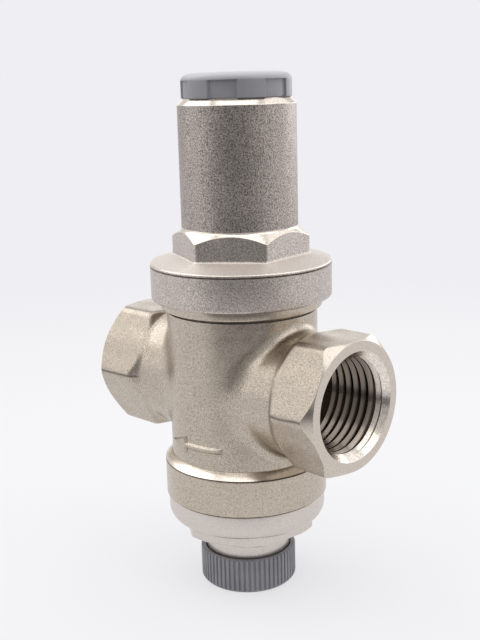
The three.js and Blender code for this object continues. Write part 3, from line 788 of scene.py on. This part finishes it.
angles = hexagon_angles(PLUG_TURN)
hexagon = hexagon_radius(angles, PLUG_FLATS, PLUG_CORNER_RADIUS, PLUG_TURN)
bevel = np.maximum(PLUG_HEX_BREAK, (hexagon - PLUG_HEX_FACE) / math.sqrt(3))
middle = PLUG_FLANGE - PLUG_ROUND
arc_top = PLUG_FLANGE_FOOT + PLUG_ROUND
meeting = arc_top - np.sqrt(PLUG_ROUND**2 - np.maximum(hexagon - middle, 0) ** 2)
start = np.arcsin(np.clip((hexagon - middle) / PLUG_ROUND, 0, 1))
outline = [
    (NECK_BORE, NECK_FOOT), (NECK_CREST - NECK_CHAMFER, NECK_FOOT), (NECK_CREST, NECK_FOOT + NECK_CHAMFER),
    (NECK_CREST, NECK_PLAIN_FOOT), (NECK_RADIUS, NECK_PLAIN_FOOT), (NECK_RADIUS, PLUG_HEX_FOOT),
    (np.minimum(hexagon - PLUG_HEX_BREAK, PLUG_HEX_FACE), PLUG_HEX_FOOT), (hexagon, PLUG_HEX_FOOT + bevel),
    (hexagon, meeting),
]
for step in range(1, PLUG_ROUND_STEPS + 1):
    turn = start + (math.pi / 2 - start) * step / PLUG_ROUND_STEPS
    outline.append((middle + PLUG_ROUND * np.sin(turn), arc_top - PLUG_ROUND * np.cos(turn)))
seam = len(outline)
outline += [
    (PLUG_FLANGE, BODY_FOOT - PLUG_SEAM_HEIGHT),
    (PLUG_FLANGE - PLUG_SEAM_DEPTH, BODY_FOOT - PLUG_SEAM_HEIGHT),
    (PLUG_FLANGE - PLUG_SEAM_DEPTH, BODY_FOOT), (PLUG_GROOVE, BODY_FOOT), (PLUG_GROOVE, PLUG_GROOVE_TOP),
    (PLUG_THREAD, PLUG_GROOVE_TOP), (PLUG_THREAD, PLUG_TOP), (PLUG_CUP, PLUG_TOP),
    (PLUG_CUP, PLUG_CUP_FLOOR), (SLEEVE_OUTER, PLUG_CUP_FLOOR), (SLEEVE_OUTER, SLEEVE_TOP),
    (SLEEVE_BORE, SLEEVE_TOP), (SLEEVE_BORE, SLEEVE_FOOT), (NECK_BORE, SLEEVE_FOOT),
]
# rounded at the neck's collar, the hexagon's face and the seam
outline = eased(outline, {4: PLUG_EDGE_ROUND, 6: PLUG_EDGE_ROUND, seam: EDGE_ROUND})
plug = spun("flanged_plug", outline, plated_plug, angles=angles)


def neck_thread():
    """The groove of the neck's outer thread, swept as one helical bar that stands out past the crest."""
    reach = NECK_CREST + NECK_THREAD_LEAD - NECK_ROOT
    widest = NECK_ROOT_FLAT + 2 * reach * math.tan(NECK_FLANK)
    points = [(0, -NECK_ROOT_FLAT / 2), (reach, -widest / 2), (reach, widest / 2), (0, NECK_ROOT_FLAT / 2)]
    turns = (NECK_PLAIN_FOOT - NECK_FOOT) / NECK_PITCH
    bar = thread_bar("neck_thread", NECK_PITCH, turns, NECK_ROOT, points, plated_plug)
    bar.data.transform(Matrix.Translation((0, 0, (PORT_AXIS + NECK_FOOT - OVERRUN / 2) * MM)))
    return bar


carved(plug, ("DIFFERENCE", neck_thread()))
smooth(plug)
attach(plug, "valve")
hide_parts("bottom_plug")

# Gauge cap
# Screw cap over the gauge neck, moulded in dark grey nylon with fine ribs all round to grip.
# The mould parts at its rim, and a sprue mark is left inside the ring that it stands on.

CAP_FOOT = -42.9
CAP_RIM = -35.7
CAP_FLOOR = -41.7
CAP_BORE = 8.95
CAP_WALL = 9.6
CAP_RIDGE = 9.95
CAP_BEVEL = 0.6
CAP_RIBS = 60
RIB_WIDTH = 0.84
RIB_ROOT = 9.2
RIB_END_ROUND = 0.2
GATE_RADIUS = 1.4
GATE_DEPTH = 0.25
GATE_SLOPE = 0.2
FOOT_RING = 7.6
FOOT_RECESS = 0.1
FOOT_SLOPE = 0.3
PEEL_HEIGHT = 0.012
GLOSS_DRIFT = 6.0
TOP_LIGHT_FADE = 1.5


def moulded_plastic(name, pale, dark, rough, grain, painted_top_light=None):
    """Moulded plastic or rubber: nearly even colour, a fine orange-peel skin and a softly drifting gloss.
    painted_top_light is a painted highlight: the paler colour of the top, from one height up to another and
    outside one radius."""
    material, tree, place = new_material(name)
    peel = add(tree, "ShaderNodeTexNoise", {
        "Vector": place, "Scale": 1 / grain, "Detail": 2.0, "Roughness": 0.5,
    }).outputs["Fac"]
    drift = add(tree, "ShaderNodeTexNoise", {
        "Vector": place, "Scale": 1 / GLOSS_DRIFT, "Detail": 3.0, "Roughness": 0.55,
    }).outputs["Fac"]
    share = add(tree, "ShaderNodeMapRange", {"Value": drift, "From Min": 0.35, "From Max": 0.65}).outputs[0]
    tone = add(tree, "ShaderNodeMix", {0: share, 6: linear(dark), 7: linear(pale)}, data_type="RGBA")
    # painted highlight: the top is paler, as if lit from above
    if painted_top_light:
        colour, low, high, inner = painted_top_light
        colour = linear(colour)
        height = add(tree, "ShaderNodeSeparateXYZ", {0: place}).outputs["Z"]
        top_light_share = add(tree, "ShaderNodeMapRange", {
            "Value": height, "From Min": low + PORT_AXIS, "From Max": high + PORT_AXIS,
        }).outputs[0]
        flat = add(tree, "ShaderNodeVectorMath", {0: place, 1: (1, 1, 0)}, operation="MULTIPLY").outputs[0]
        radius = add(tree, "ShaderNodeVectorMath", {0: flat}, operation="LENGTH").outputs["Value"]
        outside = add(tree, "ShaderNodeMapRange", {
            "Value": radius, "From Min": inner, "From Max": inner + TOP_LIGHT_FADE,
        }).outputs[0]
        top_light_share = add(tree, "ShaderNodeMath", {0: top_light_share, 1: outside}, operation="MULTIPLY").outputs[0]
        tone = add(tree, "ShaderNodeMix", {0: top_light_share, 6: tone.outputs[2], 7: colour}, data_type="RGBA")
    dull = add(tree, "ShaderNodeMapRange", {
        "Value": drift, "From Min": 0.3, "From Max": 0.7, "To Min": rough + 0.06, "To Max": rough - 0.06,
    }).outputs[0]
    normal = add(tree, "ShaderNodeBump", {"Height": peel, "Distance": PEEL_HEIGHT * MM}).outputs[0]
    finish_surface(tree, tone.outputs[2], dull, normal, 0.0)
    return material


def round_array(name, original, count, material):
    """Copies of one solid evenly round Z, as a node tree."""
    tree, given, values = start_tree(name, (("Original", "Object", original), ("Count", "Int", count)))
    shape = add(tree, "GeometryNodeObjectInfo", {"Object": given["Original"]}).outputs["Geometry"]
    places = add(tree, "GeometryNodePoints", {"Count": given["Count"]}).outputs[0]
    number = add(tree, "GeometryNodeInputIndex").outputs[0]
    step = add(tree, "ShaderNodeMath", {0: 2 * math.pi, 1: given["Count"]}, operation="DIVIDE").outputs[0]
    turn = add(tree, "ShaderNodeMath", {0: number, 1: step}, operation="MULTIPLY").outputs[0]
    turns = add(tree, "ShaderNodeCombineXYZ", {"Z": turn}).outputs[0]
    copies = add(tree, "GeometryNodeInstanceOnPoints", {
        "Points": places, "Instance": shape, "Rotation": turns,
    })
    piece = grow(name, tree, values, copies.outputs[0], material)
    bpy.data.objects.remove(original)
    return piece


def cap_rib():
    """One rib: a round-backed bar up the wall, bevelled with the cap at its foot and rounded at its rim."""
    across = np.array([-0.5, 0.5, 0.46, 0.32, 0.0, -0.32, -0.46]) * RIB_WIDTH
    raised = np.array([0.0, 0.0, 0.55, 0.9, 1.0, 0.9, 0.55])
    levels = [
        (CAP_FOOT, CAP_RIDGE - CAP_BEVEL), (CAP_FOOT + CAP_BEVEL, CAP_RIDGE),
        (CAP_RIM - RIB_END_ROUND, CAP_RIDGE), (CAP_RIM, CAP_RIDGE - RIB_END_ROUND),
    ]
    points, faces = [], []
    count = len(across)
    for level, (height, outer) in enumerate(levels):
        radii = RIB_ROOT + raised * (outer - RIB_ROOT)
        points.extend((r, a, height) for r, a in zip(radii, across))
        if level:
            low, high = (level - 1) * count, level * count
            for i in range(count):
                j = (i + 1) % count
                faces.append((low + i, low + j, high + j, high + i))
    faces.append(tuple(reversed(range(count))))
    faces.append(tuple(range(len(points) - count, len(points))))
    return solid("cap_rib", points, faces, nylon)


nylon = moulded_plastic("dark_grey_moulded_nylon", "#8e8e94", "#808086", 0.42, 0.35)

cup = [
    (0, CAP_FOOT + GATE_DEPTH), (GATE_RADIUS, CAP_FOOT + GATE_DEPTH),
    (GATE_RADIUS + GATE_SLOPE, CAP_FOOT + FOOT_RECESS), (FOOT_RING, CAP_FOOT + FOOT_RECESS),
    (FOOT_RING + FOOT_SLOPE, CAP_FOOT), (CAP_RIDGE - CAP_BEVEL, CAP_FOOT),
    (CAP_WALL, CAP_FOOT + CAP_BEVEL / 2), (CAP_WALL, CAP_RIM), (CAP_BORE, CAP_RIM),
    (CAP_BORE, CAP_FLOOR), (0, CAP_FLOOR),
]
# rounded at the sprue mark, the foot's bevel, both edges of the rim and the floor's corner
cup = eased(cup, {2: 0.1, 5: 0.1, 6: 0.15, 7: 0.12, 8: 0.15, 9: 0.4})
cap = carved(
    spun("ribbed_cap", cup, nylon),
    ("UNION", round_array("cap_ribs", cap_rib(), CAP_RIBS, nylon)),
)
smooth(cap)
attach(cap, "gauge_cap")
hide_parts("gauge_cap")

# Top cap
# Cover over the adjusting nut, moulded in mid grey nylon: six lobes to grip, a domed shoulder
# and a slightly dished top. A hollow spigot below it screws into the housing.

TOP_CAP_FOOT = 53.4
TOP_CAP_TOP = 61.2
LOBE_RADIUS = 10.7
LOBE_DEPTH = 0.5
LOBES = 6
LOBE_FLANK = math.radians(1.6)
LOBE_BEVEL = 0.12
LOBE_STEP = 0.04
LOBED_SIDES = 720
DOME_EDGE = 59.7
DOME_FOOT = 59.78
DOME_SHOULDER = (10.3, 61.2)
DOME_INNER = 8.2
DOME_STEPS = 14
DISH_RADIUS = 7.2
DISH_DEPTH = 0.25
DISH_ROUND = 1.5
TOP_LIGHT_START = 59.6
TOP_LIGHT_FULL = 60.9
SPIGOT_CAP_RADIUS = 9.4
SPIGOT_GROOVE = 8.3
SPIGOT_GROOVE_FOOT = 53.9
SPIGOT_GROOVE_TOP = 55.3
SPIGOT_HOLLOW = 6.5
TOP_CAP_CEILING = 58.2

# the dome's top is painted paler, as a highlight from the light above
lobed_nylon = moulded_plastic(
    "grey_moulded_nylon", "#97969c", "#8d8c92", 0.32, 0.4,
    painted_top_light=("#cbcacf", TOP_LIGHT_START, TOP_LIGHT_FULL, DISH_RADIUS),
)

angles = np.arange(LOBED_SIDES) * 2 * math.pi / LOBED_SIDES
away = np.abs((angles + math.pi / LOBES) % (2 * math.pi / LOBES) - math.pi / LOBES)
away = np.abs(away - math.pi / LOBES)
flank = np.clip(0.5 - (away - math.pi / LOBES / 2) / LOBE_FLANK, 0, 1)
rim = LOBE_RADIUS - LOBE_DEPTH * (1 - flank**2 * (3 - 2 * flank))
outline = [
    (0, TOP_CAP_CEILING), (SPIGOT_HOLLOW, TOP_CAP_CEILING), (SPIGOT_HOLLOW, TOP_CAP_FOOT),
    (SPIGOT_CAP_RADIUS, TOP_CAP_FOOT), (SPIGOT_CAP_RADIUS, SPIGOT_GROOVE_FOOT),
    (SPIGOT_GROOVE, SPIGOT_GROOVE_FOOT), (SPIGOT_GROOVE, SPIGOT_GROOVE_TOP),
    (SPIGOT_CAP_RADIUS, SPIGOT_GROOVE_TOP), (SPIGOT_CAP_RADIUS, HOUSING_TOP),
    (rim - LOBE_BEVEL, HOUSING_TOP), (rim, HOUSING_TOP + LOBE_BEVEL),
    (rim, DOME_EDGE), (LOBE_RADIUS, DOME_EDGE + LOBE_STEP),
]
for step in range(DOME_STEPS + 1):
    t = step / DOME_STEPS
    radius = (1 - t) ** 2 * LOBE_RADIUS + 2 * t * (1 - t) * DOME_SHOULDER[0] + t**2 * DOME_INNER
    height = (1 - t) ** 2 * DOME_FOOT + 2 * t * (1 - t) * DOME_SHOULDER[1] + t**2 * TOP_CAP_TOP
    outline.append((radius, height))
outline += [(DISH_RADIUS, TOP_CAP_TOP - DISH_DEPTH), (0, TOP_CAP_TOP - DISH_DEPTH)]
outline = eased(outline, {len(outline) - 2: DISH_ROUND})
top_cap = spun("lobed_cap", outline, lobed_nylon, angles=angles)
smooth(top_cap)
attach(top_cap, "top_cap")
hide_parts("top_cap")

# Works inside
# Piston, stem, obturator, seat, adjusting nut and seals keep the CAD's shapes.
# They are turned brass, stainless steel, nitrile rubber and fluoroplastic.

INSIDE = {
    "turned_brass": ("piston", "gasket_clamp", "obturator", "adjusting_nut"),
    "turned_stainless_steel": ("seat_ring", "stem", "stem_nut", "spring_washer"),
    "black_nitrile_rubber": (
        "bottom_plug_seal", "gauge_cap_washer", "piston_seal", "seat_gasket", "obturator_seal",
        "top_cap_seal",
    ),
    "white_fluoroplastic": ("piston_guide_band",),
}
turned_metal("turned_brass", "#d9b871", "#b08d49", 0.26, "Z")
turned_metal("turned_stainless_steel", "#c9cbcd", "#a7a9ac", 0.24, "Z")
moulded_plastic("black_nitrile_rubber", "#262729", "#1b1c1e", 0.62, 0.3)
moulded_plastic("white_fluoroplastic", "#e9e6de", "#dedbd2", 0.45, 0.3)
for look, nodes in INSIDE.items():
    for node in nodes:
        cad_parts[node].material_slots[0].material = bpy.data.materials[look]

# Adjusting spring
# Wound from oiled round wire. The piston presses it from below and the nut's washer from above,
# so it is cut at its middle turn into two halves.

PISTON_TRAVEL = 2.5
NUT_TRAVEL = 4.0

spring_wire = turned_metal("oiled_spring_wire", "#6c6e72", "#4c4e52", 0.36, "Z")
spring_foot, spring_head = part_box("adjusting_spring")
spring_middle = (spring_foot.z + spring_head.z) / 2
for name, side, joint, travel in (
    ("adjusting_spring_lower", -1, "piston_travel", PISTON_TRAVEL),
    ("adjusting_spring_upper", 1, "adjusting_nut_turn", NUT_TRAVEL),
):
    coil = bmesh.new()
    coil.from_mesh(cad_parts["adjusting_spring"].data)
    bmesh.ops.remove_doubles(coil, verts=coil.verts, dist=1e-6)
    bmesh.ops.bisect_plane(
        coil, geom=coil.verts[:] + coil.edges[:] + coil.faces[:],
        plane_co=(0, 0, spring_middle), plane_no=(0, 0, side), clear_inner=True,
    )
    bmesh.ops.holes_fill(coil, edges=[edge for edge in coil.edges if edge.is_boundary])
    bmesh.ops.triangulate(coil, faces=[face for face in coil.faces if len(face.verts) > 3])
    mesh = bpy.data.meshes.new(name)
    coil.to_mesh(mesh)
    coil.free()
    mesh.materials.append(spring_wire)
    half = bpy.data.objects.new(name, mesh)
    bpy.context.scene.collection.objects.link(half)
    smooth(half)
    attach(half, "valve")
    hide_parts("adjusting_spring")
    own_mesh(half)

# Floor, light and camera
# A plain pale sheet of paper, soft boxes round the valve and overhead with a low one at the right,
# an even room that is darker towards the camera, and the photo's viewpoint.

CAMERA_PLACE = (140.17, -143.5, 102.67)
CAMERA_HEADING = math.radians(44.464)
CAMERA_PITCH = math.radians(-13.282)
CAMERA_ROLL = math.radians(-1.555)
LENS = 57.4
SENSOR = 36.0
PAPER_REACH = 3000.0
PAPER_NEAR = 90.0
PAPER_FAR = 330.0
PAPER_SEEN = "#f1f1f3"
PAPER_TONES = ("#ebebed", "#f3f3f5")
PAPER_SHADE = "#6f6e72"
FADE_START = 70.0
FADE_END = 220.0
FADE_WIDE = 0.45
FADE_NARROW = 0.75
SHADOW_SHARE = 0.34
MIRRORED_SHARE = 0.8
BACKDROP = "#efeef2"
ROOM = 0.68


def paper_sheet():
    """A wide pale sheet with painted shade in front of the picture, where the valve's lower faces mirror it.
    The camera sees it mostly as even near-white with part of the valve's shadow, and far away as pale as
    the backdrop. Reflections see it partly even too, but less so where it is darker."""
    material, tree, place = new_material("pale_studio_paper")
    sin, cos = math.sin(CAMERA_HEADING), math.cos(CAMERA_HEADING)
    front = add(tree, "ShaderNodeVectorMath", {0: place, 1: (sin, -cos, 0)}, operation="DOT_PRODUCT")
    shade = add(tree, "ShaderNodeMapRange", {
        "Value": front.outputs["Value"], "From Min": FADE_START, "From Max": FADE_END,
    }).outputs[0]
    away = add(tree, "ShaderNodeVectorMath", {0: place}, operation="LENGTH").outputs["Value"]
    aside = add(tree, "ShaderNodeMath", {0: front.outputs["Value"], 1: away}, operation="DIVIDE").outputs[0]
    aside = add(tree, "ShaderNodeMapRange", {
        "Value": aside, "From Min": FADE_WIDE, "From Max": FADE_NARROW,
    }).outputs[0]
    shade = add(tree, "ShaderNodeMath", {0: shade, 1: aside}, operation="MULTIPLY").outputs[0]
    far = add(tree, "ShaderNodeMapRange", {
        "Value": away, "From Min": PAPER_NEAR, "From Max": PAPER_FAR,
    }).outputs[0]
    seen = add(tree, "ShaderNodeLightPath").outputs["Is Camera Ray"]
    close, distant, shaded = map(linear, (*PAPER_TONES, PAPER_SHADE))
    pale = add(tree, "ShaderNodeMix", {0: far, 6: close, 7: distant}, data_type="RGBA")
    # painted shade on the paper in front of the picture
    pale = add(tree, "ShaderNodeMix", {0: shade, 6: pale.outputs[2], 7: shaded}, data_type="RGBA")
    pale = add(tree, "ShaderNodeMix", {
        0: seen, 6: pale.outputs[2], 7: linear(PAPER_SEEN),
    }, data_type="RGBA")
    matt = add(tree, "ShaderNodeBsdfDiffuse", {"Color": pale.outputs[2]})
    tone = add(tree, "ShaderNodeMix", {0: far, 6: distant, 7: linear(BACKDROP)}, data_type="RGBA")
    even = add(tree, "ShaderNodeEmission", {"Color": tone.outputs[2]})
    share = add(tree, "ShaderNodeMath", {
        0: far, 1: SHADOW_SHARE, 2: 1 - SHADOW_SHARE,
    }, operation="MULTIPLY_ADD").outputs[0]
    share = add(tree, "ShaderNodeMath", {0: seen, 1: share}, operation="MULTIPLY").outputs[0]
    mirrored = add(tree, "ShaderNodeLightPath").outputs["Is Glossy Ray"]
    lit = add(tree, "ShaderNodeMath", {
        0: shade, 1: -MIRRORED_SHARE, 2: MIRRORED_SHARE,
    }, operation="MULTIPLY_ADD").outputs[0]
    share = add(tree, "ShaderNodeMath", {0: mirrored, 1: lit, 2: share}, operation="MULTIPLY_ADD").outputs[0]
    surface = add(tree, "ShaderNodeMixShader", {0: share, 1: matt.outputs[0], 2: even.outputs[0]})
    add(tree, "ShaderNodeOutputMaterial", {"Surface": surface.outputs[0]})
    reach = PAPER_REACH
    corners = [(x * reach, y * reach, -PORT_AXIS) for x, y in ((-1, -1), (1, -1), (1, 1), (-1, 1))]
    solid("studio_paper", corners, [(0, 1, 2, 3)], material)


def towards(heading, rise):
    """The direction at a heading, counted from the camera's, and a rise over the level, in degrees."""
    turn, rise = CAMERA_HEADING + math.radians(heading), math.radians(rise)
    return Vector((math.sin(turn) * math.cos(rise), -math.cos(turn) * math.cos(rise), math.sin(rise)))


def soft_box(name, heading, rise, distance, size, power):
    """A white area lamp that looks at the middle of the valve. Degrees, millimetres and watts."""
    lamp = bpy.data.lights.new(name, "AREA")
    lamp.shape = "RECTANGLE"
    lamp.size, lamp.size_y = size[0] * MM, size[1] * MM
    lamp.energy = power
    piece = bpy.data.objects.new(name, lamp)
    bpy.context.scene.collection.objects.link(piece)
    aim = towards(heading, rise)
    place = Matrix.Translation((aim * distance + Vector((0, 0, PORT_AXIS))) * MM)
    piece.matrix_world = place @ (-aim).to_track_quat("-Z", "Y").to_matrix().to_4x4()


paper_sheet()
for name, heading, rise, distance, size, power in (
    ("right_box", 60, 45, 560, (400, 400), 0.45),
    ("rear_right_box", 120, 45, 560, (400, 400), 0.24),
    ("rear_left_box", -120, 45, 560, (400, 400), 0.65),
    ("left_box", -60, 45, 560, (400, 400), 0.33),
    ("overhead_box", 0, 84, 560, (400, 400), 0.48),
    ("low_right_box", 130, 13, 480, (420, 160), 0.27),
):
    soft_box(name, heading, rise, distance, size, power)

world = bpy.data.worlds.new("studio")
bpy.context.scene.world = world
world.use_nodes = True
tree = world.node_tree
tree.nodes.clear()
way = add(tree, "ShaderNodeTexCoord").outputs["Generated"]
tent = ROOM
# low down in the room: glows at both sides and behind the valve, and less light towards the camera
for heading, rise, strength, narrowness in (
    (0, 5, -0.25, 8), (45, 5, -0.12, 8), (-45, 5, -0.3, 8),
    (84, 12, 0.3, 8), (-90, 5, 0.57, 8), (180, 5, 0.9, 30),
):
    aim = towards(heading, rise)
    near = add(tree, "ShaderNodeVectorMath", {0: way, 1: aim}, operation="DOT_PRODUCT").outputs["Value"]
    near = add(tree, "ShaderNodeMath", {0: near, 1: 0.0}, operation="MAXIMUM").outputs[0]
    near = add(tree, "ShaderNodeMath", {0: near, 1: narrowness}, operation="POWER").outputs[0]
    tent = add(tree, "ShaderNodeMath", {0: near, 1: strength, 2: tent}, operation="MULTIPLY_ADD").outputs[0]
tent = add(tree, "ShaderNodeCombineColor", {0: tent, 1: tent, 2: tent}).outputs[0]
seen = add(tree, "ShaderNodeLightPath").outputs["Is Camera Ray"]
tone = add(tree, "ShaderNodeMix", {0: seen, 6: tent, 7: linear(BACKDROP)}, data_type="RGBA")
sky = add(tree, "ShaderNodeBackground", {"Color": tone.outputs[2]})
add(tree, "ShaderNodeOutputWorld", {"Surface": sky.outputs[0]})

lens = bpy.data.cameras.new("camera")
lens.lens = LENS
lens.sensor_fit = "VERTICAL"
lens.sensor_height = SENSOR
lens.clip_start = 0.01
camera = bpy.data.objects.new("camera", lens)
bpy.context.scene.collection.objects.link(camera)
ahead = -towards(0, -math.degrees(CAMERA_PITCH))
level = Vector((math.cos(CAMERA_HEADING), math.sin(CAMERA_HEADING), 0))
upright = level.cross(ahead)
across = level * math.cos(CAMERA_ROLL) + upright * math.sin(CAMERA_ROLL)
upward = upright * math.cos(CAMERA_ROLL) - level * math.sin(CAMERA_ROLL)
turned = Matrix((across, upward, -ahead)).transposed().to_4x4()
camera.matrix_world = Matrix.Translation(Vector(CAMERA_PLACE) * MM) @ turned
bpy.context.scene.camera = camera
bpy.context.scene.view_settings.view_transform = "Standard"
